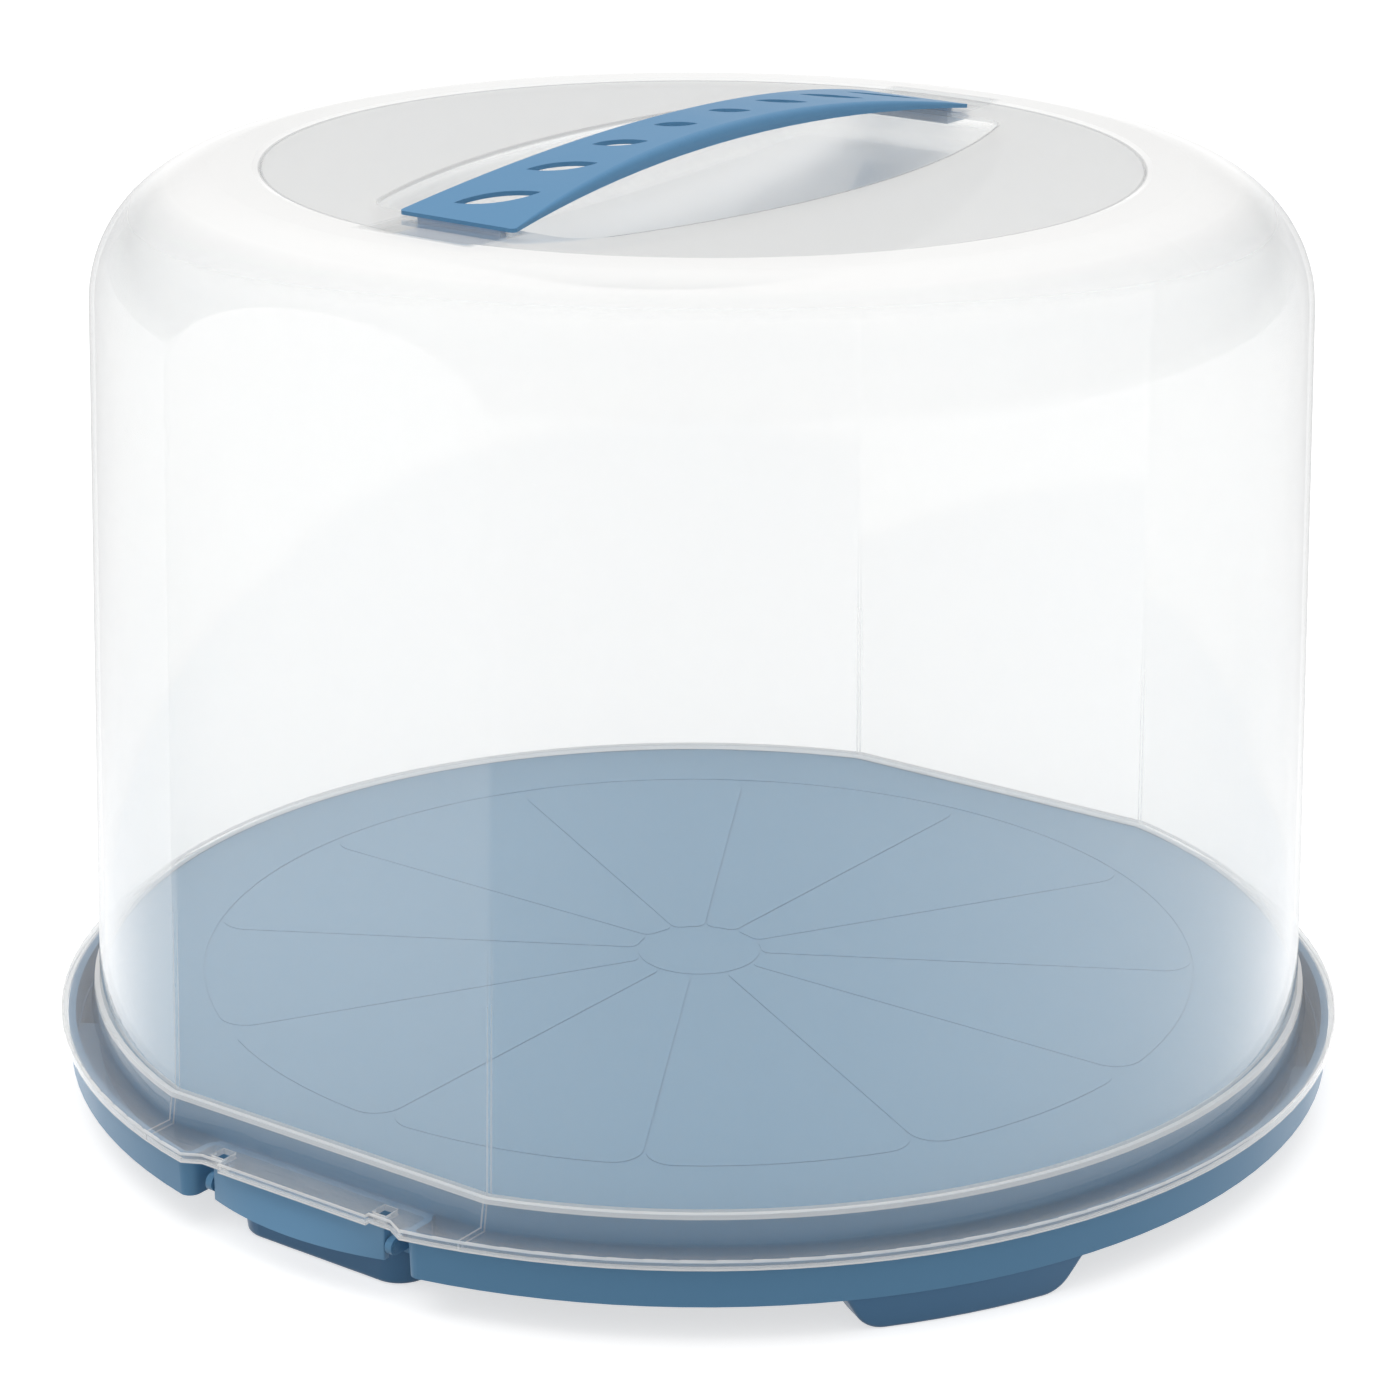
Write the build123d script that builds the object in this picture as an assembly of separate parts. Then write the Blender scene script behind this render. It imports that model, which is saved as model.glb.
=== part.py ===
from build123d import *
import math
import os

# Cake keeper: a blue tray, a clear dome with a flat on two sides, a blue
# handle clipped into the dome, and two blue rocker latches on the flats.
# Origin on the table under the centre, +Z up, flats and latches at +Y and -Y.

# Main radius of the dome's wall, measured at its foot, and of the flats cut in it
dome_foot_radius = 166.75
flat_setback = 8.15

# Tray
foot_height = 10.0
skirt_height = 11.8
skirt_lean = 0.5
skirt_wall = 2.0
plate_wall = 2.0
plate_edge_radius = 0.6
groove_rise = 4.0
groove_floor_wall = 2.0
notch_corner_radius = 3.0
notch_root_radius = 2.0
rib_height = 6.0
rib_wall = 1.6
rib_count = 12
rib_ring_inset = 72.6
hub_ring_radius = 26.0

# Engraved slicing guide
slice_count = 12
slice_inner_radius = 17.0
slice_rim = 28.0
slice_line = 0.6
slice_depth = 0.25
slice_inner_corner = 3.0
slice_outer_corner = 8.0

# Feet
round_foot_angle = 58.5
round_foot_half_angle = 10.6
round_foot_slant = 6.0
round_foot_lean = 2.2
round_foot_end_radius = 8.5
flat_foot_half_top = 30.3
flat_foot_half_bottom = 28.5
flat_foot_depth = 17.5
flat_foot_reach = 1.5
flat_foot_end_radius = 8.7
foot_edge_radius = 1.2
foot_ledge = 0.3
foot_wall = 2.0

# Dome
dome_wall = 1.5
dome_draft = 0.030
dome_ledge_width = 1.35
dome_step_spread = 1.2
dome_step_rise = 5.85
dome_step_gap = 0.4
dome_wall_height = 189.9
flange_reach = 10.75
rim_gap = 0.45
lip_gap = 0.3
lip_depth = 1.35
lip_edge_radius = 0.7
shoulder_radius = 34.3
crown_slope = 0.04
crown_run = 10.34
ring_run = 2.0
ring_drop = 0.6
flat_edge_radius = 2.0

# Flange ends and tongues over the latches
flange_corner_cover = 0.5
setback_margin = 2.8
tongue_setback = 4.8
tongue_step = 1.5
tongue_margin = 3.8
window_width = 4.2
window_length = 4.5
window_margin = 2.7
window_offset = 0.2
barb_width = 3.4
barb_reach = 1.0
barb_height = 0.5

# Finger recess in the top
recess_margin = 19.8
recess_half_width = 52.0
recess_end_half_width = 33.0
recess_corner_radius = 11.0
recess_depth_middle = 20.0
recess_depth_end = 9.5
recess_taper = 6.0
recess_floor_radius = 4.0

# Handle
handle_overlap = 6.0
handle_rise = 9.8
handle_middle_thickness = 4.0
handle_end_thickness = 1.0
handle_seat_gap = 0.8
handle_half_width_middle = 12.4
handle_half_width_end = 18.2
handle_roll_share = 0.8
handle_edge_radius = 0.2
handle_wall = 1.2
handle_corner_radius = 1.5
handle_channel_share = 0.88
handle_stations = 6
hole_start = 12.0
hole_end_margin = 16.0
hole_shares = [0.0, 0.324, 0.649, 1.0]
hole_lengths = [11.5, 14.5, 18.0, 21.5]
hole_widths = [5.4, 6.0, 6.8, 7.6]
hole_angle = 42.0
clip_half_width = 13.0
clip_web = 2.2
clip_thickness = 2.0
clip_reach = 9.6
clip_gap = 0.4
clip_setback = 0.9
clip_root = 0.5

# Latches
latch_half_length = 28.2
latch_rise = 1.6
latch_gap = 0.7
latch_setback = 2.5
latch_bulge = 4.4
latch_wall = 2.2
latch_edge_radius = 0.5
pin_radius = 1.3
pin_setback = 4.3
pin_rise = 3.7
pin_play = 0.06
lug_offset = 0.5
lug_wall = 2.0
lug_ring = 0.9
lug_gap = 4.8
arm_width = 2.8
arm_wall = 1.3
arm_gap = 0.15
arm_top_gap = 0.25
arm_root = 0.3
arm_root_height = 4.7
nose_height = 0.5
nose_reach = 0.35

# How far a cutting solid runs past the face it opens, and how closely a point is matched
overrun = 1.0
match = 0.01

# Heights, from the table up
skirt_top = foot_height + skirt_height
groove_floor = foot_height + groove_rise
groove_bottom = groove_floor - groove_floor_wall
flange_bottom = skirt_top + rim_gap
flange_top = flange_bottom + dome_wall
lip_bottom = flange_bottom - lip_depth
plate_top = flange_top + dome_step_rise
plate_bottom = plate_top - plate_wall
ledge_top = plate_top + dome_wall
shoulder_start = ledge_top + dome_wall_height

# Step between the dome's foot and its flange, and the tray's wall inside it
dome_foot_flat = dome_foot_radius - flat_setback
step_slope = dome_step_spread / (ledge_top - flange_top)
step_angle = math.degrees(math.atan(step_slope))
step_outset = dome_ledge_width + step_slope * dome_wall
step_radius = dome_foot_radius + step_outset
step_flat = dome_foot_flat + step_outset
plug_radius = step_radius - dome_wall - dome_step_gap
plug_flat = step_flat - dome_wall - dome_step_gap
plug_spread = step_slope * (plate_top - flange_bottom)
wall_radius = plug_radius + plug_spread
wall_flat = plug_flat + plug_spread
slice_outer_radius = plug_radius - slice_rim
rib_ring_radius = wall_radius - rib_ring_inset

# Skirt below the dome's lip, and the notch in it at each flat
lip_radius = dome_foot_radius + flange_reach
skirt_radius_top = lip_radius - dome_wall - lip_gap
skirt_radius_bottom = skirt_radius_top - skirt_lean
skirt_draft = math.degrees(math.atan(skirt_lean / skirt_height))
notch_flat = wall_flat + skirt_wall
notch_half_width = latch_half_length + lug_offset + lug_wall + lug_gap

# Tongues, windows, latches and pins, from the lip inwards
flange_corner_half = notch_half_width + flange_corner_cover
setback_half = latch_half_length + setback_margin
tongue_half = latch_half_length - tongue_margin
tongue_flat = lip_radius - tongue_setback
setback_flat = tongue_flat - tongue_step
window_outer = tongue_flat - window_margin
window_inner = window_outer - window_length
window_centre = tongue_half + window_offset + window_width / 2
latch_bottom = foot_height + latch_rise
latch_top = lip_bottom - latch_gap
latch_flat = tongue_flat - latch_setback
pin_flat = tongue_flat - pin_setback
pin_height = latch_bottom + pin_rise
barb_flat = window_outer - barb_reach
arm_flat = barb_flat - arm_gap
arm_top = flange_bottom - arm_top_gap

# Shoulder, crown and top disc
draft_angle = math.atan(dome_draft)
crown_angle = math.atan(crown_slope)
shoulder_start_radius = dome_foot_radius - dome_draft * dome_wall_height
shoulder_centre = (
    shoulder_start_radius - shoulder_radius * math.cos(draft_angle),
    shoulder_start - shoulder_radius * math.sin(draft_angle),
)
crown_height = shoulder_centre[1] + shoulder_radius * math.cos(crown_angle)
crown_radius = shoulder_centre[0] + shoulder_radius * math.sin(crown_angle)
ring_radius = crown_radius - crown_run
ring_height = crown_height + crown_slope * crown_run
disc_height = ring_height - ring_drop

# Recess and handle
recess_half_length = ring_radius - ring_run - recess_margin
handle_half_length = recess_half_length + handle_overlap
handle_end_bottom = disc_height + handle_seat_gap
handle_end_top = handle_end_bottom + handle_end_thickness
handle_middle_top = handle_end_top + handle_rise
handle_middle_bottom = handle_middle_top - handle_middle_thickness
hole_reach = handle_half_length - hole_end_margin - hole_start
hole_places = [hole_start + share * hole_reach for share in hole_shares]
clip_outer = handle_half_length - clip_setback
clip_inner = clip_outer - clip_web
clip_top = disc_height - dome_wall - clip_gap
clip_bottom = clip_top - clip_thickness


def round_with_flats(radius, flat):
    """A disc cut straight at y = +flat and y = -flat, with rounded corners."""
    outline = Circle(radius) & Rectangle(2 * radius, 2 * flat)
    corners = outline.vertices().filter_by(lambda v: abs(v.Y) > flat - match)
    return fillet(corners, flat_edge_radius)


def at_height(height, sketch):
    return Pos(0, 0, height) * sketch


def half_turn(shape):
    return Rot(0, 0, 180) * shape


def across_x(section, width):
    """A section drawn in the Y-Z plane, made as wide as width about x = 0."""
    return extrude(Plane.YZ * section, width / 2, both=True)


def tray_outline(radius):
    """Skirt outline seen from above, with a notch at each flat for the latch."""
    notch_depth = 2 * (radius - notch_flat)
    notch = Pos(0, notch_flat + notch_depth / 2) * RectangleRounded(
        2 * notch_half_width, notch_depth, notch_root_radius
    )
    outline = Circle(radius) - notch - half_turn(notch)
    mouths = outline.vertices().filter_by(lambda v: math.hypot(v.X, v.Y) > radius - match)
    corners = mouths.filter_by(lambda v: abs(v.X) < notch_half_width + match)
    return fillet(corners, notch_corner_radius)


def slice_petal(index):
    """One portion of the slicing guide, inset by half a line from its neighbours."""
    half_angle = 180 / slice_count
    reach = 2 * slice_outer_radius
    tip = slice_line / 2 / math.sin(math.radians(half_angle))
    spread = reach * math.tan(math.radians(half_angle))
    wedge = make_face(Polyline((tip, 0), (tip + reach, spread), (tip + reach, -spread), close=True))
    petal = wedge & Circle(slice_outer_radius - slice_line)
    petal -= Circle(slice_inner_radius + slice_line)
    middle = (slice_inner_radius + slice_outer_radius) / 2
    inner = petal.vertices().filter_by(lambda v: math.hypot(v.X, v.Y) < middle)
    petal = fillet(inner, slice_inner_corner)
    outer = petal.vertices().filter_by(lambda v: math.hypot(v.X, v.Y) > middle)
    petal = fillet(outer, slice_outer_corner)
    return Rot(0, 0, half_angle * (2 * index + 1)) * petal


def slicing_guide():
    lines = Circle(slice_outer_radius) - Circle(slice_inner_radius)
    for index in range(slice_count):
        lines -= slice_petal(index)
    return extrude(at_height(plate_top - slice_depth, lines), slice_depth)


def foot_wedge(inset, floor):
    """A foot on the +Y side as a solid, inset by a wall all round, from floor up to the groove."""
    lean_slope = round_foot_lean / foot_height
    outer_top = skirt_radius_bottom - foot_ledge - inset
    outer_bottom = outer_top - round_foot_lean + lean_slope * floor
    inner_radius = wall_radius - skirt_wall + inset
    section = Polyline(
        (inner_radius, floor),
        (outer_bottom, floor),
        (outer_top, foot_height),
        (outer_top, groove_floor),
        (inner_radius, groove_floor),
        close=True,
    )
    body = revolve(Plane.XZ * make_face(section), Axis.Z)
    slant = round_foot_slant / foot_height
    half_top = math.radians(round_foot_half_angle) * skirt_radius_bottom - inset
    half_bottom = half_top - slant * (foot_height - floor)
    front = Polyline(
        (-half_top, groove_floor),
        (-half_top, foot_height),
        (-half_bottom, floor),
        (half_bottom, floor),
        (half_top, foot_height),
        (half_top, groove_floor),
        close=True,
    )
    face = make_face(front)
    face = fillet(face.vertices().group_by(Axis.Y)[0], round_foot_end_radius)
    return body & extrude(Plane.XZ * face, -2 * skirt_radius_top)


def round_foot(angle):
    """A hollow foot below the groove: leaning outer face, slanted ends, open into the groove."""
    foot = foot_wedge(0, 0)
    outer_edge = foot.edges().group_by(Axis.Z)[0].sort_by(Axis.Y)[-1]
    return Rot(0, 0, angle) * fillet(outer_edge, foot_edge_radius)


def foot_pocket(angle):
    return Rot(0, 0, angle) * foot_wedge(foot_wall, foot_wall)


def flat_foot():
    """The foot below the +Y latch, standing a little in front of the back of the notch."""
    centre = notch_flat + flat_foot_reach - flat_foot_depth / 2
    top = RectangleRounded(2 * flat_foot_half_top, flat_foot_depth, flat_foot_end_radius)
    bottom = RectangleRounded(2 * flat_foot_half_bottom, flat_foot_depth, flat_foot_end_radius)
    foot = loft([bottom, at_height(groove_bottom, top)])
    foot = fillet(foot.edges().group_by(Axis.Z)[0], foot_edge_radius)
    return Pos(0, centre, 0) * foot


def bearing_lug(side):
    """The lug that carries one latch pin, standing out of the back of the +Y notch."""
    ring_radius_outer = pin_radius + pin_play + lug_ring
    reach = pin_flat - notch_flat + skirt_wall
    arm = Pos(pin_flat - reach / 2, pin_height) * Rectangle(reach, 2 * ring_radius_outer)
    lug = arm + Pos(pin_flat, pin_height) * Circle(ring_radius_outer)
    lug -= Pos(pin_flat, pin_height) * Circle(pin_radius + pin_play)
    centre = latch_half_length + lug_offset + lug_wall / 2
    return Pos(side * centre, 0, 0) * across_x(lug, lug_wall)


def underside_ribs():
    """Two ring ribs and the radial ribs under the plate."""
    rib_bottom = plate_bottom - rib_height
    inside = round_with_flats(wall_radius - skirt_wall, wall_flat - skirt_wall)
    ribs = Circle(rib_ring_radius + rib_wall / 2) - Circle(rib_ring_radius - rib_wall / 2)
    ribs += Circle(hub_ring_radius + rib_wall / 2) - Circle(hub_ring_radius - rib_wall / 2)
    length = wall_radius - hub_ring_radius
    for index in range(rib_count):
        spoke = Pos(hub_ring_radius + length / 2, 0) * Rectangle(length, rib_wall)
        ribs += Rot(0, 0, index * 360 / rib_count) * spoke
    return extrude(at_height(rib_bottom, ribs & inside), rib_height)


def base_tray():
    # Plate and the wall that plugs the dome's step, leaning out as it goes down
    plug = extrude(
        at_height(plate_top, round_with_flats(plug_radius, plug_flat)),
        plate_top - flange_bottom,
        dir=(0, 0, -1),
        taper=-step_angle,
    )
    plug = fillet(plug.edges().group_by(Axis.Z)[-1], plate_edge_radius)
    wall = extrude(at_height(groove_bottom, round_with_flats(wall_radius, wall_flat)), flange_bottom - groove_bottom)
    hollow = extrude(
        at_height(0, round_with_flats(plug_radius - skirt_wall, plug_flat - skirt_wall)),
        plate_bottom,
    )
    tray = plug + wall

    # Groove floor and outer skirt
    outline = tray_outline(skirt_radius_bottom)
    tray += extrude(at_height(groove_bottom, outline), groove_floor_wall)
    skirt = extrude(at_height(foot_height, outline), skirt_height, taper=-skirt_draft)
    inner = offset(outline, -skirt_wall, kind=Kind.INTERSECTION)
    skirt -= extrude(at_height(foot_height, inner), skirt_height, taper=-skirt_draft)
    tray += skirt
    back = Pos(0, notch_flat - skirt_wall, (groove_floor + skirt_top) / 2) * Box(
        2 * notch_half_width, skirt_wall, skirt_top - groove_floor
    )
    tray += back + half_turn(back)
    foot_angles = [round_foot_angle, -round_foot_angle, 180 + round_foot_angle, 180 - round_foot_angle]
    for angle in foot_angles:
        tray += round_foot(angle)
    tray += flat_foot() + half_turn(flat_foot())
    tray -= hollow
    for angle in foot_angles:
        tray -= foot_pocket(angle)
    for side in (1, -1):
        tray += bearing_lug(side) + half_turn(bearing_lug(side))
    tray += underside_ribs()
    return tray - slicing_guide()


def flange_outline():
    """Outline of the dome's flange: a circle with a stepped tongue over each latch."""
    clear = lip_radius + overrun
    corner_flat = math.sqrt(lip_radius**2 - flange_corner_half**2)
    notch = make_face(
        Polyline(
            (-flange_corner_half, clear),
            (-flange_corner_half, corner_flat),
            (-setback_half, setback_flat),
            (-tongue_half, setback_flat),
            (-tongue_half, tongue_flat),
            (tongue_half, tongue_flat),
            (tongue_half, setback_flat),
            (setback_half, setback_flat),
            (flange_corner_half, corner_flat),
            (flange_corner_half, clear),
            close=True,
        )
    )
    return Circle(lip_radius) - notch - half_turn(notch)


def latch_windows():
    """The four holes in the flange, one above each barb of its lip."""
    length = window_outer - window_inner
    middle = (window_outer + window_inner) / 2
    windows = Sketch()
    for x in (window_centre, -window_centre):
        for y in (middle, -middle):
            windows += Pos(x, y) * Rectangle(window_width, length)
    return extrude(at_height(lip_bottom, windows), flange_top - lip_bottom)


def catch_barbs():
    """The four small ledges inside the flange's lip that the noses of the latches hook over."""
    middle = barb_flat + barb_reach / 2 + match
    barbs = Sketch()
    for x in (window_centre, -window_centre):
        for y in (middle, -middle):
            barbs += Pos(x, y) * Rectangle(barb_width, barb_reach + 2 * match)
    return extrude(at_height(lip_bottom, barbs), barb_height)


def dome_block(inset):
    """The dome as a solid, inset all round: drafted wall, shoulder, crown and two flats."""
    wall_bottom = plate_top
    bottom_radius = dome_foot_radius + dome_draft * (ledge_top - wall_bottom) - inset
    start = (shoulder_start_radius - inset * math.cos(draft_angle), shoulder_start - inset * math.sin(draft_angle))
    end = (crown_radius - inset * math.sin(crown_angle), crown_height - inset * math.cos(crown_angle))
    bend = (draft_angle + math.pi / 2 - crown_angle) / 2
    middle = (
        shoulder_centre[0] + (shoulder_radius - inset) * math.cos(bend),
        shoulder_centre[1] + (shoulder_radius - inset) * math.sin(bend),
    )
    outline = (
        Polyline((0, disc_height - inset), (0, wall_bottom), (bottom_radius, wall_bottom), start)
        + ThreePointArc(start, middle, end)
        + Polyline(
            end,
            (ring_radius, ring_height - inset),
            (ring_radius - ring_run, disc_height - inset),
            (0, disc_height - inset),
        )
    )
    block = revolve(Plane.XZ * make_face(outline), Axis.Z)
    half_bottom = dome_foot_flat + dome_draft * (ledge_top - wall_bottom) - inset
    half_top = half_bottom - dome_draft * (ring_height - wall_bottom)
    slab = make_face(
        Polyline(
            (-half_bottom, wall_bottom),
            (half_bottom, wall_bottom),
            (half_top, ring_height),
            (-half_top, ring_height),
            close=True,
        )
    )
    block &= across_x(slab, 2 * lip_radius)
    rims = block.edges().filter_by(
        lambda e: abs(e.center().Y) > half_top - shoulder_radius
        and abs(e.center().X) < dome_foot_radius / 2
        and e.center().Z > ledge_top
    )
    rims = rims.filter_by(lambda e: e.bounding_box().size.Z > shoulder_radius)
    return fillet(rims, flat_edge_radius - inset)


def recess_block(grow):
    """The finger recess as a solid: barrel outline, leaning sides, arched floor."""
    side = ThreePointArc(
        (recess_end_half_width, -recess_half_length),
        (recess_half_width, 0),
        (recess_end_half_width, recess_half_length),
    )
    opposite = ThreePointArc(
        (-recess_end_half_width, recess_half_length),
        (-recess_half_width, 0),
        (-recess_end_half_width, -recess_half_length),
    )
    ends = [
        Line((recess_end_half_width, recess_half_length), (-recess_end_half_width, recess_half_length)),
        Line((-recess_end_half_width, -recess_half_length), (recess_end_half_width, -recess_half_length)),
    ]
    plan = make_face([side, ends[0], opposite, ends[1]])
    plan = fillet(plan.vertices(), recess_corner_radius)
    if grow:
        plan = offset(plan, grow)
    drop = recess_depth_middle + grow
    block = extrude(at_height(disc_height, plan), drop + overrun, dir=(0, 0, -1), taper=recess_taper)
    reach = recess_half_length + dome_wall
    floor_middle = disc_height - recess_depth_middle - grow
    floor_end = disc_height - recess_depth_end - grow
    floor = ThreePointArc((-reach, floor_end), (0, floor_middle), (reach, floor_end))
    above = Polyline((reach, floor_end), (reach, disc_height), (-reach, disc_height), (-reach, floor_end))
    block &= across_x(make_face([floor, above]), 2 * recess_half_width + 2 * dome_wall)
    floor_edges = block.faces().sort_by(Axis.Z)[0].edges()
    block = fillet(floor_edges, recess_floor_radius)
    return block + extrude(at_height(disc_height, plan), ring_height)


def clip_slots():
    """Slots through the disc below the handle's ends, for its clip feet."""
    centre = Pos(0, (clip_inner + clip_outer) / 2, disc_height - dome_wall / 2)
    slot = centre * Box(2 * clip_half_width + 2 * clip_gap, clip_web + 2 * clip_gap, dome_wall + 2 * overrun)
    return slot + half_turn(slot)


def dome_cover():
    shell = dome_block(0) - recess_block(0)
    hollow = dome_block(dome_wall) - recess_block(dome_wall)
    hollow += extrude(
        at_height(plate_top, round_with_flats(dome_foot_radius - dome_wall, dome_foot_flat - dome_wall)),
        -overrun,
    )

    # Step from the ledge on the plate's rim down to the flange
    ledge_radius = dome_foot_radius + dome_ledge_width
    ledge_flat = dome_foot_flat + dome_ledge_width
    step = extrude(
        at_height(ledge_top, round_with_flats(ledge_radius, ledge_flat)),
        ledge_top - flange_bottom,
        dir=(0, 0, -1),
        taper=-step_angle,
    )
    socket = extrude(
        at_height(plate_top, round_with_flats(step_radius - dome_wall, step_flat - dome_wall)),
        plate_top - flange_bottom,
        dir=(0, 0, -1),
        taper=-step_angle,
    )

    # Flange with its lip turned down over the skirt
    outline = flange_outline()
    flange = extrude(at_height(lip_bottom, outline), flange_top - lip_bottom)
    flange = fillet(flange.edges().group_by(Axis.Z)[-1], lip_edge_radius)
    inner = offset(outline, -dome_wall, kind=Kind.INTERSECTION)
    flange -= extrude(at_height(lip_bottom, inner), flange_bottom - lip_bottom)
    dome = shell + step + flange
    dome -= hollow
    dome -= socket
    dome -= latch_windows()
    dome += catch_barbs()
    return dome - clip_slots()


def handle_hole(place, length, width):
    """A lens-shaped hole, pointed at both ends and turned from the cross direction."""
    tips = (length / 2, 0)
    lens = make_face(
        [
            ThreePointArc((-length / 2, 0), (0, width / 2), tips),
            ThreePointArc(tips, (0, -width / 2), (-length / 2, 0)),
        ]
    )
    return Pos(0, place) * Rot(0, 0, hole_angle) * lens


def along_handle(end, middle, place):
    """A value that follows an arc along the handle, from end at its tips to middle."""
    rise = middle - end
    radius = (handle_half_length**2 + rise**2) / (2 * rise)
    return middle - radius + math.copysign(math.sqrt(radius**2 - place**2), radius)


def strap_section(place, wall):
    """Section of the strap at a place along it: flat below, its long edges rolled over."""
    bottom = along_handle(handle_end_bottom, handle_middle_bottom, place)
    thickness = along_handle(handle_end_top, handle_middle_top, place) - bottom
    half_width = along_handle(handle_half_width_end, handle_half_width_middle, place) - wall
    height = thickness - wall
    roll = handle_roll_share * height
    if not wall:
        roll = handle_roll_share * (thickness - handle_end_thickness) + handle_edge_radius
    whole = RectangleRounded(2 * half_width, 2 * height, roll)
    upper = whole & Pos(0, height) * Rectangle(2 * half_width, 2 * height)
    return Pos(0, place, bottom) * (Plane.XZ * upper)


def strap_solid(reach, wall):
    places = [reach * step / handle_stations for step in range(-handle_stations, handle_stations + 1)]
    return loft([strap_section(place, wall) for place in places])


def handle():
    strap = strap_solid(handle_half_length, 0)
    plan = RectangleRounded(2 * handle_half_width_end, 2 * handle_half_length, handle_corner_radius)
    strap &= extrude(plan, 2 * handle_middle_top)
    strap -= strap_solid(handle_channel_share * handle_half_length, handle_wall)
    for place, length, width in zip(hole_places, hole_lengths, hole_widths):
        for side in (1, -1):
            strap -= extrude(handle_hole(side * place, length, width), 2 * handle_middle_top)
    return strap + clip_foot() + half_turn(clip_foot())


def clip_foot():
    """The web below the +Y end of the handle and its tongue, which reaches out under the disc."""
    sides = Polyline(
        (clip_inner, clip_bottom),
        (clip_outer + clip_reach, clip_bottom),
        (clip_outer + clip_reach, clip_top),
        (clip_outer, clip_top),
        (clip_outer, handle_end_bottom + clip_root),
        (clip_inner, handle_end_bottom + clip_root),
        close=True,
    )
    return across_x(make_face(sides), 2 * clip_half_width)


def latch_section(bulge):
    """Plan of the latch panel at one height, bowed outwards by bulge in the middle."""
    ends = [(latch_half_length, latch_flat), (-latch_half_length, latch_flat)]
    inner = latch_flat - latch_wall
    if bulge:
        front = ThreePointArc(ends[0], (0, latch_flat + bulge), ends[1])
        back = ThreePointArc((-latch_half_length, inner), (0, inner + bulge), (latch_half_length, inner))
    else:
        front = Line(*ends)
        back = Line((-latch_half_length, inner), (latch_half_length, inner))
    sides = [Line(front @ 1, back @ 0), Line(back @ 1, front @ 0)]
    return make_face([front, sides[0], back, sides[1]])


def latch():
    """The +Y latch: panel, two pins in line and two catch arms."""
    panel = loft(
        [
            at_height(latch_bottom, latch_section(latch_bulge)),
            at_height(latch_top, latch_section(0)),
        ],
        ruled=True,
    )
    upright = panel.edges().filter_by(lambda e: e.bounding_box().size.Z > latch_wall)
    panel = fillet(upright, latch_edge_radius)
    pin_tip = latch_half_length + lug_offset + lug_wall + pin_play
    arm_inner = arm_flat - arm_wall
    panel_inner = latch_flat - latch_wall
    arm_shank = arm_flat - nose_reach
    root_bottom = pin_height - pin_radius
    profile = Polyline(
        (panel_inner + arm_root, root_bottom),
        (arm_inner, root_bottom),
        (arm_inner, arm_top),
        (arm_shank, arm_top),
        (arm_flat, arm_top - nose_height),
        (arm_shank, arm_top - nose_height),
        (arm_shank, latch_top),
        (panel_inner + arm_root, root_bottom + arm_root_height),
        close=True,
    )
    arm = across_x(make_face(profile), arm_width)
    body = panel
    for side in (1, -1):
        pin_length = pin_tip - latch_half_length + latch_wall
        pin_centre = side * (pin_tip - pin_length / 2)
        pin = Pos(pin_centre, pin_flat, pin_height) * Rot(0, 90, 0) * Cylinder(pin_radius, pin_length)
        body += pin + Pos(side * window_centre, 0, 0) * arm
    return body


nodes = {
    "base_tray": base_tray(),
    "dome": dome_cover(),
    "handle": handle(),
    "latch_front": half_turn(latch()),
    "latch_rear": latch(),
}
os.makedirs("parts", exist_ok=True)
for name, shape in nodes.items():
    export_step(shape, f"parts/{name}.step")
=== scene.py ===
import math

import bpy
from mathutils import Matrix, Vector

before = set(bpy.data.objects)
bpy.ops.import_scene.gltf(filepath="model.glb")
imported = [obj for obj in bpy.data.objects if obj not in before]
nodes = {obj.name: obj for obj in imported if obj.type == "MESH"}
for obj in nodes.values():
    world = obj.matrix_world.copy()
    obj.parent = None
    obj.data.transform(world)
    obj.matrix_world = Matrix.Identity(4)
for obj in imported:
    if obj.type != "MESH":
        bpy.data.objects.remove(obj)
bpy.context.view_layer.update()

# Camera, solved from the rim and plate outlines in the photograph
camera_axis_distance = 1.02174
camera_azimuth = 35.86
camera_height = 0.4594
camera_pitch = 19.178
camera_roll = 0.288
camera_lens = 101.1

# Blue plastics: linear colours, and the sheen as a Specular IOR Level
tray_blue = (0.120, 0.282, 0.462)
tray_blue_deep = (0.110, 0.264, 0.438)
# Painted shade: the feet are painted a darker blue, standing in for the shade close to the floor
foot_shade_blue = (0.078, 0.200, 0.360)
# Painted light: the top of the plate is painted a lighter blue, standing in for the light and haze it shows
# through the dome
plate_lit_blue = (0.170, 0.345, 0.515)
# Painted light: the latches are a lighter copy of the tray's blue, standing in for the light their upturned
# faces catch
latch_lit_blue = (0.134, 0.296, 0.475)
latch_lit_blue_deep = (0.124, 0.278, 0.450)
handle_blue = (0.103, 0.264, 0.454)
handle_blue_deep = (0.095, 0.250, 0.434)
# Painted light: the handle's tongues under the top disc are painted a pale blue-white, lifting them out of
# the shade they lie in
tongue_lit_pale = (0.48, 0.58, 0.71)
tray_sheen = 0.28
latch_sheen = 0.45
handle_sheen = 0.25
gloss_least = 0.30
gloss_drift = 0.10
gloss_grain = 0.05
zone_fade = 0.0002

# Clear plastic. A veil is the share of light that a skin scatters, and smoke what it holds back
clear_tint = (0.99, 0.98, 0.965)
clear_tint_deep = (0.97, 0.965, 0.955)
veil_per_skin = 0.10
veil_edge_gain = 0.18
veil_top_least = 0.08
veil_top_slant = 0.80
# Painted shade: the veil is denser on the floor of the finger recess, greying it
veil_recess_shade = 0.24
veil_crown = 1.15
veil_by_tongue = 0.12
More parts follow.
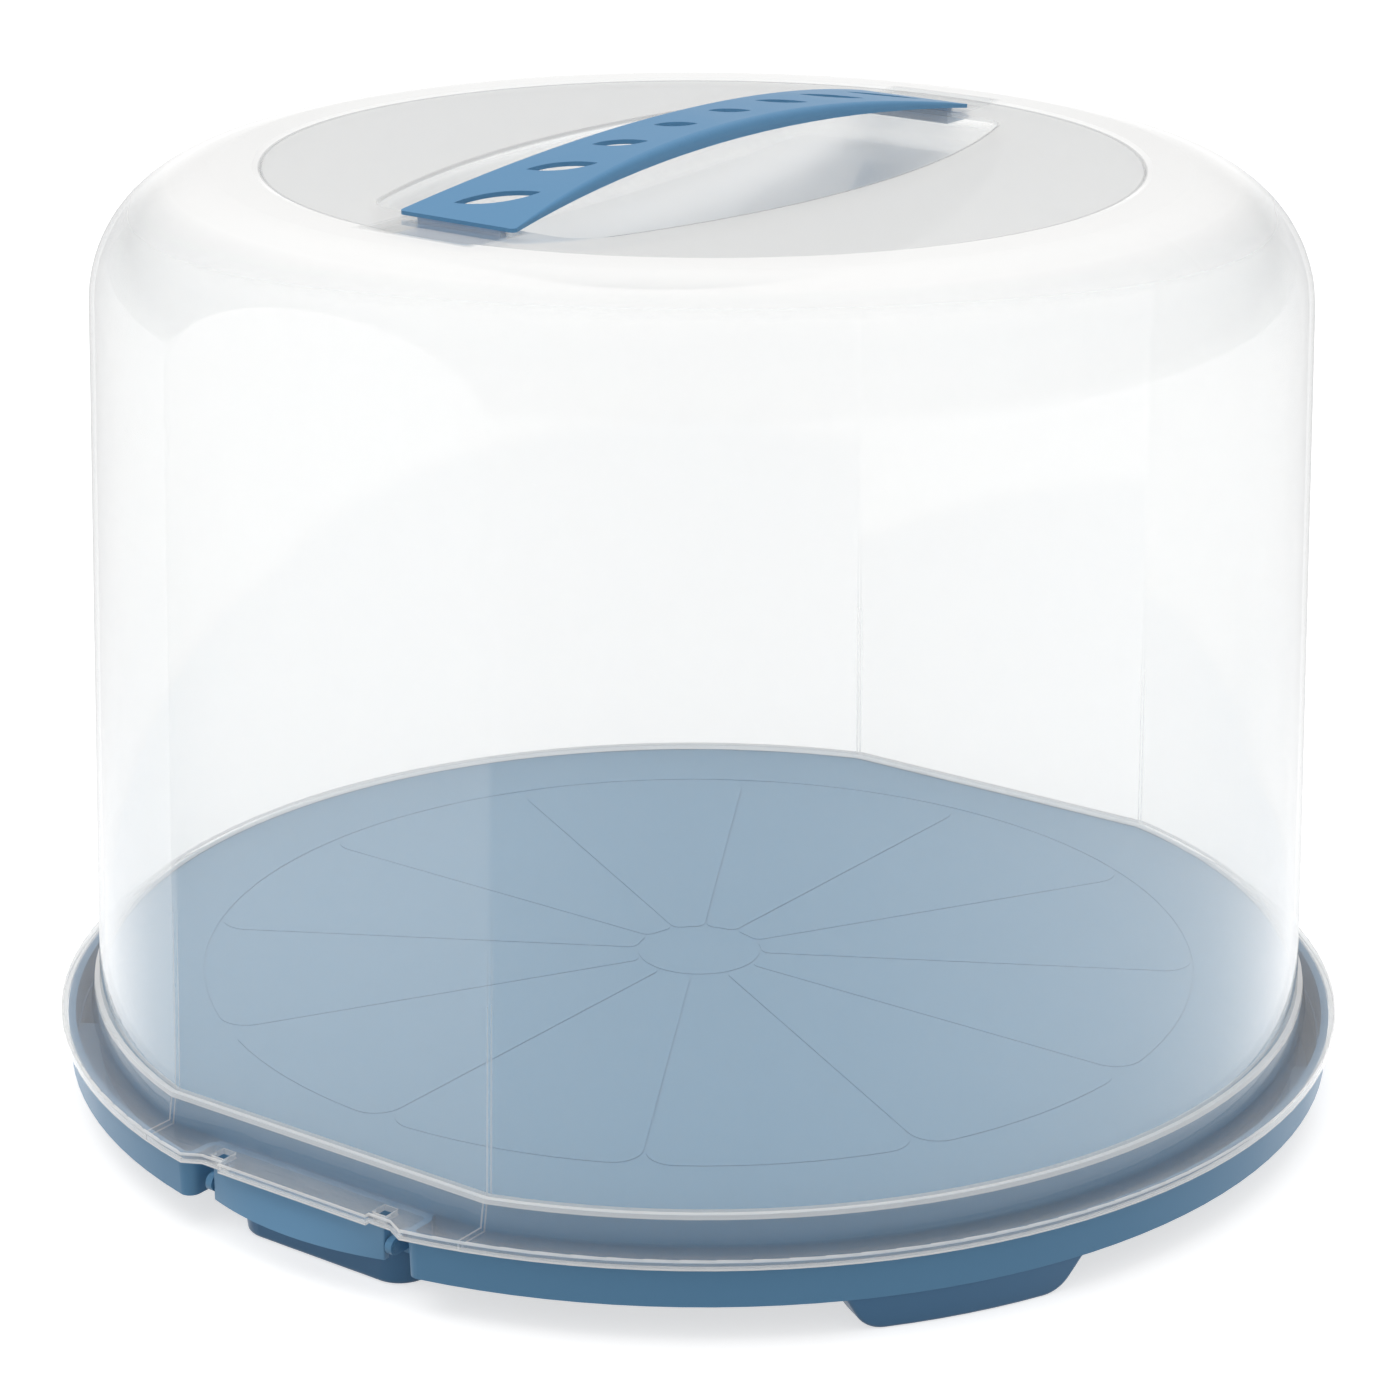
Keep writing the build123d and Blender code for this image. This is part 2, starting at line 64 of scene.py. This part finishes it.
# Painted highlights: the veil's density on the dome's cut edges and tight rounds
veil_edge_highlights = 0.65
# Painted shade: the veil on the top disc is tinted grey
top_shade_tint = (0.93, 0.92, 0.905)
clear_pass = (0.960, 0.961, 0.960, 1.0)
smoke_pass = (0.38, 0.385, 0.39, 1.0)
smoke_edge = 0.9
smoke_power = 9.0
# Painted shade: how much the dark lines on the dome hold back
line_shade_smoke = 0.48
line_clearing = 0.7
veil_share_through = 0.75
top_share_through = 0.35
crown_share_through = 0.10
clear_mirror = 0.034
mirror_most = 0.5
clear_roughness = 0.06

# Tray and handle: the heights between which their colour differs: painted shade on the feet, painted light
# on the plate and on the handle's tongues
foot_shade_zone = (-0.001, 0.0098)
plate_lit_zone = (0.0290, 0.0310)
tongue_lit_zone = (0.2495, 0.2547)

# Dome: where its looks change, among them bands of painted highlight and lines of painted shade. A pair
# holds the two ends of a band, or where a change starts and where it is complete
line_fade = 0.0001
recess_floor_rise = (0.229, 0.230)
recess_fall = (0.2525, 0.2500)
ring_radius = 0.1158
ring_edge = (0.1160, 0.1158)
crown_rise = (0.2400, 0.2515)
ledge_heights = (0.0299, 0.0312)
lip_foot = (0.0214, 0.0212)
lip_heights = (0.0212, 0.0222)
lip_share = 0.4
flange_round_heights = (0.0230, 0.0236)
flange_round_radii = (0.1700, 0.1706)
window_x = (0.0244, 0.0290)
window_y = (0.1652, 0.1703)
window_top = (0.026, 0.025)
window_share = 0.6
corner_x = (0.0514, 0.0518)
corner_draft = 0.0047
corner_y = (0.149, 0.150)
corner_fall = (0.1400, 0.0500)
corner_share = 0.60
soft_fade = 0.0003
# Painted shade: the dark line at the top disc's ring and along the sides of the finger recess
ring_line_inside = 0.0004
ring_line_outside = 0.0002
ring_line_fade = 0.0004
ring_line_rise = (0.24, 0.25)
recess_half_width = 0.052
recess_arc = 0.252
recess_line = (-0.0002, 0.0005)
recess_line_rise = (0.2530, 0.2535)
recess_line_ends = (0.090, 0.088)
tongue_x = (0.019, 0.016)
tongue_y = (0.0990, 0.1180)
tongue_fade = 0.0020

# Studio
floor_half = 12.0
centre_guard = 0.0001
floor_bounce = 0.38
floor_glow_share = 0.40
floor_glow = 1.6
floor_mirrored_near = 0.85
floor_mirrored_side = 1.6
sky_low = 0.52
sky_high = 0.95
sky_mirrored_high = 0.60
sky_fall = (0.02, 0.16)
lamp_strength = 1.2
lamp_softness = 70.0
lamp_direction = (-0.25, 0.0, 1.0)


class Signal:
    """A number that varies over a surface. Arithmetic on it adds Math nodes."""

    def __init__(self, paint, socket):
        self.paint = paint
        self.socket = socket

    def _math(self, operation, first, second):
        node = self.paint.node("ShaderNodeMath", {"operation": operation}, {0: first, 1: second})
        return Signal(self.paint, node.outputs[0])

    def __add__(self, other):
        return self._math("ADD", self, other)

    def __radd__(self, other):
        return self._math("ADD", other, self)

    def __sub__(self, other):
        return self._math("SUBTRACT", self, other)

    def __rsub__(self, other):
        return self._math("SUBTRACT", other, self)

    def __mul__(self, other):
        return self._math("MULTIPLY", self, other)

    def __rmul__(self, other):
        return self._math("MULTIPLY", other, self)

    def __pow__(self, other):
        return self._math("POWER", self, other)

    def size(self):
        return self._math("ABSOLUTE", self, 0.0)

    def at_most(self, other):
        return self._math("MINIMUM", self, other)

    def at_least(self, other):
        return self._math("MAXIMUM", self, other)


class Paint:
    """One material or world, filled with nodes by node()."""

    def __init__(self, name, owner=None):
        self.owner = owner or bpy.data.materials.new(name)
        self.owner.use_nodes = True
        self.tree = self.owner.node_tree
        self.tree.nodes.clear()

    def node(self, kind, settings=None, sockets=None):
        """Adds a node: its settings first, then the values or links of its sockets."""
        made = self.tree.nodes.new(kind)
        for key, value in (settings or {}).items():
            setattr(made, key, value)
        for key, value in (sockets or {}).items():
            if isinstance(value, Signal):
                self.tree.links.new(value.socket, made.inputs[key])
            elif isinstance(value, bpy.types.NodeSocket):
                self.tree.links.new(value, made.inputs[key])
            else:
                made.inputs[key].default_value = value
        return made

    def ramp(self, signal, start, end):
        """0 up to start, then straight up to 1 at end."""
        sockets = {"Value": signal, "From Min": start, "From Max": end}
        found = self.node("ShaderNodeMapRange", {"clamp": True}, sockets)
        return Signal(self, found.outputs["Result"])

    def band(self, signal, low, high, soft):
        """1 from low to high, fading to 0 over soft on each side."""
        return self.ramp(signal, low - soft, low) * self.ramp(signal, high + soft, high)

    def axes(self, source="Object"):
        """The three coordinates of a point, each by itself."""
        found = self.node("ShaderNodeTexCoord").outputs[source]
        split = self.node("ShaderNodeSeparateXYZ", sockets={0: found})
        return [Signal(self, split.outputs[axis]) for axis in "XYZ"]

    def noise(self, scale, detail):
        places = self.node("ShaderNodeTexCoord").outputs["Object"]
        found = self.node("ShaderNodeTexNoise", sockets={"Vector": places, "Scale": scale, "Detail": detail})
        return Signal(self, found.outputs["Fac"])

    def bump(self, signal, strength, distance):
        sockets = {"Strength": strength, "Distance": distance, "Height": signal}
        return self.node("ShaderNodeBump", sockets=sockets).outputs["Normal"]

    def rays(self):
        """Which ray asks for the colour: the camera's, a mirrored one or one that was let through."""
        path = self.node("ShaderNodeLightPath")
        wanted = ("Is Camera Ray", "Is Glossy Ray", "Is Transmission Ray")
        return [Signal(self, path.outputs[name]) for name in wanted]

    def mixed(self, share, first, second):
        """A colour or link between two, by a share from 0 to 1."""
        sockets = {"Factor": share, "A": first, "B": second}
        return self.node("ShaderNodeMix", {"data_type": "RGBA"}, sockets).outputs["Result"]

    def blend(self, share, first, second):
        """A colour between two colours, by a share from 0 to 1."""
        return self.mixed(share, (*first, 1.0), (*second, 1.0))

    def grey(self, share, first, second):
        """A grey between two brightnesses, by a share from 0 to 1."""
        return self.blend(share, (first,) * 3, (second,) * 3)

    def layered(self, share, below, above):
        """One shader over another, by a share from 0 to 1."""
        return self.node("ShaderNodeMixShader", sockets={0: share, 1: below, 2: above}).outputs[0]

    def shader(self, kind, **sockets):
        return self.node("ShaderNode" + kind, sockets=sockets).outputs[0]

    def surface(self, shader):
        is_world = isinstance(self.owner, bpy.types.World)
        kind = "ShaderNodeOutputWorld" if is_world else "ShaderNodeOutputMaterial"
        self.node(kind, sockets={"Surface": shader})
        return self.owner


def satin_plastic(name, colour, deep, sheen, zones):
    """Moulded polypropylene: a soft sheen, slight colour drift and a very fine grain. Each zone has a lower
    and an upper height and a colour painted there: painted shade on the tray's feet, painted light on its
    plate and on the handle's tongues."""
    paint = Paint(name)
    shade = paint.blend(paint.noise(9.0, 3.0), deep, colour)
    grain = paint.noise(2600.0, 2.0)
    height = paint.axes()[2]
    for (low, high), other in zones:
        shade = paint.mixed(paint.band(height, low, high, zone_fade), shade, (*other, 1.0))
    body = paint.node(
        "ShaderNodeBsdfPrincipled",
        sockets={
            "Base Color": shade,
            "Roughness": gloss_least + gloss_drift * paint.noise(60.0, 2.0) + gloss_grain * grain,
            "Normal": paint.bump(grain, 0.06, 0.0002),
            "IOR": 1.49,
            "Specular IOR Level": sheen,
        },
    )
    return paint.surface(body.outputs[0])


def painted_edge_highlights(paint, x, y, z, radius):
    """Painted highlights: a denser white veil on the cut edges and tight rounds of the dome's moulding,
    standing in for the light they catch: the ledge, the lip, the flange's outer round, the window walls and
    the drafted corners of the flats."""
    ledge = paint.band(z, *ledge_heights, line_fade)
    lip = paint.ramp(z, *lip_foot) + lip_share * paint.band(z, *lip_heights, line_fade)
    flange_round = paint.band(z, *flange_round_heights, line_fade) * paint.ramp(radius, *flange_round_radii)
    windows = paint.band(x.size(), *window_x, line_fade) * paint.band(y.size(), *window_y, line_fade)
    windows = window_share * windows * paint.ramp(z, *window_top)
    corners = paint.band(x.size() + corner_draft * z, *corner_x, soft_fade)
    corners = corner_share * corners * paint.ramp(y.size(), *corner_y) * paint.ramp(z, *corner_fall)
    return ledge.at_least(lip).at_least(corners).at_least(flange_round).at_least(windows)


def painted_shade_lines(paint, x, y, z, radius):
    """Painted shade: thin dark lines where the top disc meets its ring, and along the sides of the finger
    recess.
    """
    inside, outside = ring_radius - ring_line_inside, ring_radius + ring_line_outside
    ring = paint.band(radius, inside, outside, ring_line_fade) * paint.ramp(z, *ring_line_rise)
    recess_edge = (recess_arc ** 2.0 - y * y) ** 0.5 - (recess_arc - recess_half_width)
    recess = paint.band(x.size() - recess_edge, *recess_line, soft_fade)
    recess = recess * paint.ramp(z, *recess_line_rise) * paint.ramp(y.size(), *recess_line_ends)
    return ring.at_least(recess)


def clear_plastic(name):
    """Clear, slightly milky polypropylene. Each skin lets most light straight on, scatters a share
    both ways, and mirrors more as it is seen edge on: f + (1 - f) times (1 - cosine) to the fifth.
    The top disc and the crown round it are hazier, but not over the tongues of the handle. On the top disc
    the veil is tinted grey and is denser on the recess floor, as painted shade; the dark lines are painted
    shade and the cut edges carry painted highlights."""
    paint = Paint(name)
    ripple = paint.noise(22.0, 2.0)
    weight = paint.node("ShaderNodeLayerWeight", sockets={"Blend": 0.5})
    edge_on = Signal(paint, weight.outputs["Facing"])
    x, y, z = paint.axes()
    radius = (x * x + y * y) ** 0.5
    top = paint.ramp(z, *recess_floor_rise) * paint.ramp(radius, *ring_edge)
    crown = paint.ramp(z, *crown_rise) * (1.0 - top)
    tongue = paint.ramp(x.size(), *tongue_x) * paint.band(y.size(), *tongue_y, tongue_fade)
    tongue = tongue * crown.at_least(top)
    # Painted highlights on the dome's cut edges and tight rounds
    edges = painted_edge_highlights(paint, x, y, z, radius)
    # Painted shade along the disc's ring and the sides of the finger recess
    lines = painted_shade_lines(paint, x, y, z, radius)

    white = paint.blend(ripple, clear_tint, clear_tint_deep)
    # Painted shade: the veil is tinted grey on the top disc
    tint = paint.mixed(top, white, (*top_shade_tint, 1.0))
    behind = veil_share_through - (veil_share_through - top_share_through) * top
    behind = behind - (veil_share_through - crown_share_through) * crown.at_least(edges)
    near = paint.shader("BsdfDiffuse", Color=tint)
    veil = paint.layered(behind, near, paint.shader("BsdfTranslucent", Color=tint))

    # The smoke holds back more where a skin is seen edge on, and along the painted shade lines
    dim = (smoke_edge * edge_on ** smoke_power).at_least(line_shade_smoke * lines)
    clear = paint.shader("BsdfTransparent", Color=clear_pass)
    glass = paint.layered(dim, clear, paint.shader("BsdfTransparent", Color=smoke_pass))

    plain = veil_per_skin + veil_edge_gain * edge_on
    outside = plain.at_least(veil_crown * crown * edge_on).at_least(veil_edge_highlights * edges)
    # Painted shade: a denser veil on the floor of the finger recess
    recess_shade = veil_recess_shade * paint.ramp(z, *recess_fall)
    inside = veil_top_least + recess_shade + veil_top_slant * edge_on ** 2.0
    haze = (1.0 - top) * outside + top * inside
    density = haze * (1.0 - line_clearing * lines) * (1.0 - tongue) + veil_by_tongue * tongue
    body = paint.layered(density, glass, veil)

    normal = paint.bump(ripple, 0.05, 0.001)
    bright = (1.0, 1.0, 1.0, 1.0)
    gloss = paint.shader("BsdfAnisotropic", Color=bright, Roughness=clear_roughness, Normal=normal)
    mirror = (clear_mirror + (1.0 - clear_mirror) * edge_on ** 5.0).at_most(mirror_most)
    return paint.surface(paint.layered(mirror, body, gloss))


def white_floor():
    """A pale sheet under the keeper: the camera sees it nearly white, and it keeps the shadow.
    What the gloss mirrors of it is brighter to the left and right of the camera."""
    mesh = bpy.data.meshes.new("floor_sheet")
    ends = (-floor_half, floor_half)
    corners = [(x, y, 0.0) for x in ends for y in ends]
    mesh.from_pydata(corners, [], [(0, 2, 3, 1)])
    floor = bpy.data.objects.new("floor_sheet", mesh)
    bpy.context.scene.collection.objects.link(floor)
    paint = Paint("floor_white")
    seen, mirrored, sent_on = paint.rays()
    mirrored = mirrored + sent_on
    matte = paint.shader("BsdfDiffuse", Color=paint.grey(seen, floor_bounce, 1.0))
    x, y, _ = paint.axes()
    turn = math.radians(camera_azimuth)
    far = x * x + y * y + centre_guard
    aside = (x * math.cos(turn) + y * math.sin(turn)) ** 2.0 * far ** -1.0
    reflected = paint.grey(aside, floor_mirrored_near, floor_mirrored_side)
    glow = paint.shader("Emission", Color=paint.mixed(seen, reflected, (floor_glow,) * 3 + (1.0,)))
    material = paint.surface(paint.layered(seen * floor_glow_share + mirrored, matte, glow))
    material.cycles.emission_sampling = "NONE"
    mesh.materials.append(material)


def studio_sky():
    """White for the camera, and a plain light for the object that grows towards the zenith."""
    world = bpy.data.worlds.new("studio_sky")
    paint = Paint("studio_sky", world)
    seen, mirrored_ray, sent_on = paint.rays()
    seen = seen + sent_on
    rise = paint.axes("Generated")[2]
    lit = paint.grey(paint.ramp(rise, 0.0, 1.0), sky_low, sky_high)
    mirrored = paint.grey(paint.ramp(rise, *sky_fall), 1.0, sky_mirrored_high)
    plain = paint.mixed(seen.at_most(1.0), lit, (1.0, 1.0, 1.0, 1.0))
    shown = paint.mixed(mirrored_ray, plain, mirrored)
    bpy.context.scene.world = paint.surface(paint.shader("Background", Color=shown))
    world.cycles.sampling_method = "NONE"


def top_light():
    """A very soft light from above."""
    data = bpy.data.lights.new("top_softbox", "SUN")
    data.energy = lamp_strength
    data.angle = math.radians(lamp_softness)
    lamp = bpy.data.objects.new("top_softbox", data)
    lamp.visible_glossy = False
    lamp.rotation_euler = Vector(lamp_direction).to_track_quat("Z", "Y").to_euler()
    bpy.context.scene.collection.objects.link(lamp)


def photo_camera():
    """The photograph's camera: a distance from the axis, an azimuth, a pitch and a small roll."""
    turn = math.radians(camera_azimuth)
    pitch = math.radians(camera_pitch)
    roll = math.radians(camera_roll)
    away = Vector((math.sin(turn), -math.cos(turn), 0.0))
    forward = -away * math.cos(pitch) - Vector((0.0, 0.0, math.sin(pitch)))
    level = forward.cross(Vector((0.0, 0.0, 1.0))).normalized()
    upright = level.cross(forward)
    right = level * math.cos(roll) + upright * math.sin(roll)
    up = upright * math.cos(roll) - level * math.sin(roll)
    place = away * camera_axis_distance + Vector((0.0, 0.0, camera_height))
    data = bpy.data.cameras.new("photo_camera")
    data.lens = camera_lens
    data.sensor_width = 36.0
    data.clip_end = 40.0
    camera = bpy.data.objects.new("photo_camera", data)
    axes = Matrix((right, up, -forward)).transposed().to_4x4()
    camera.matrix_world = Matrix.Translation(place) @ axes
    bpy.context.scene.collection.objects.link(camera)
    bpy.context.scene.camera = camera


def dress(node, material):
    mesh = nodes[node].data
    mesh.materials.clear()
    mesh.materials.append(material)


# Painted shade on the tray's feet, and painted light on its plate and on the handle's tongues
tray_shade_and_light_zones = [(foot_shade_zone, foot_shade_blue), (plate_lit_zone, plate_lit_blue)]
handle_lit_zones = [(tongue_lit_zone, tongue_lit_pale)]
blue = satin_plastic("tray_polypropylene", tray_blue, tray_blue_deep, tray_sheen, tray_shade_and_light_zones)
# Painted light: the latches get a lighter copy of the tray's blue
lit_rocker_blue = satin_plastic("latch_lit_polypropylene", latch_lit_blue, latch_lit_blue_deep, latch_sheen, [])
strap_blue = satin_plastic("handle_polypropylene", handle_blue, handle_blue_deep, handle_sheen, handle_lit_zones)
clear = clear_plastic("clear_polypropylene")
dress("base_tray", blue)
dress("latch_front", lit_rocker_blue)
dress("latch_rear", lit_rocker_blue)
dress("handle", strap_blue)
dress("dome", clear)

white_floor()
studio_sky()
top_light()
photo_camera()
bpy.context.scene.view_settings.view_transform = "Standard"
